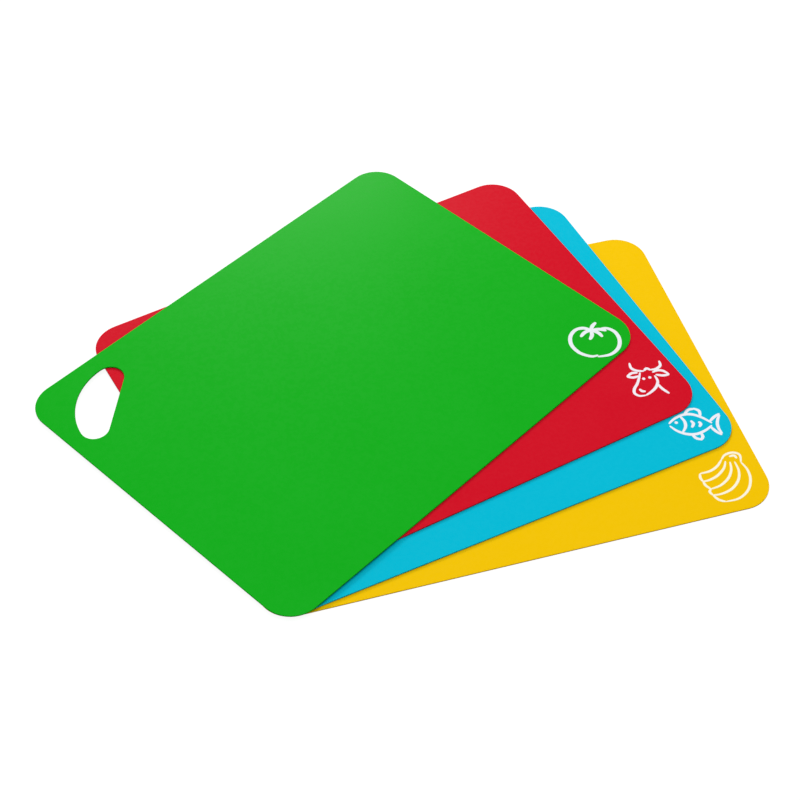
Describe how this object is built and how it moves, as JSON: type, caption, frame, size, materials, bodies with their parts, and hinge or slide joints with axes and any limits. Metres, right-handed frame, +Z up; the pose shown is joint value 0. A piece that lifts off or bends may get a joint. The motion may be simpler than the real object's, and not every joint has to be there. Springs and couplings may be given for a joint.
{
  "type": "set of flexible cutting mats",
  "caption": "Fanned set of thin flexible plastic cutting mats, colour-coded by food, each with a half-moon finger hole in one corner and a printed food symbol in the opposite one.",
  "frame": {"origin": "centre of the rounding of the bottom (yellow) sheet's near left corner, about which the sheets fan out, on the table", "axes": "+X along the bottom (yellow) sheet's long side, +Y along its short side, +Z up"},
  "size_m": [0.5014, 0.4238, 0.0053],
  "materials": {
    "yellow_plastic": "fine matt polypropylene",
    "blue_plastic": "fine matt polypropylene",
    "red_plastic": "fine matt polypropylene",
    "green_plastic": "fine matt polypropylene",
    "white_ink": "screen-printed white ink"
  },
  "bodies": {
    "yellow_mat": {"yellow_sheet": "yellow_plastic", "banana_print": "white_ink"},
    "blue_mat": {"blue_sheet": "blue_plastic", "fish_print": "white_ink"},
    "red_mat": {"red_sheet": "red_plastic", "cattle_print": "white_ink"},
    "green_mat": {"green_sheet_middle": "green_plastic"},
    "green_mat_far_side": {"green_sheet_far_side": "green_plastic"},
    "green_mat_near_side": {"green_sheet_near_side": "green_plastic", "tomato_print": "white_ink"}
  },
  "joints": [
    {"name": "blue_swivel", "type": "hinge", "parent": "yellow_mat", "child": "blue_mat", "pos_m": [0, 0, 0.00132], "axis": [0, 0, 1], "range_deg": [-10, 35]},
    {"name": "red_swivel", "type": "hinge", "parent": "blue_mat", "child": "red_mat", "pos_m": [0, 0, 0.00264], "axis": [0, 0, 1], "range_deg": [-3.3, 35]},
    {"name": "green_swivel", "type": "hinge", "parent": "red_mat", "child": "green_mat", "pos_m": [0, 0, 0.00396], "axis": [0, 0, 1], "range_deg": [-16.8, 35]},
    {"name": "far_side_curl", "type": "hinge", "parent": "green_mat", "child": "green_mat_far_side", "pos_m": [0.0477, 0.24571, 0.00516], "axis": [0.8652, 0.5015, 0], "range_deg": [0, 60], "stiffness_Nm_per_rad": 1.2},
    {"name": "near_side_curl", "type": "hinge", "parent": "green_mat", "child": "green_mat_near_side", "pos_m": [0.11549, 0.12878, 0.00516], "axis": [-0.8652, -0.5015, 0], "range_deg": [0, 60], "stiffness_Nm_per_rad": 1.2}
  ]
}
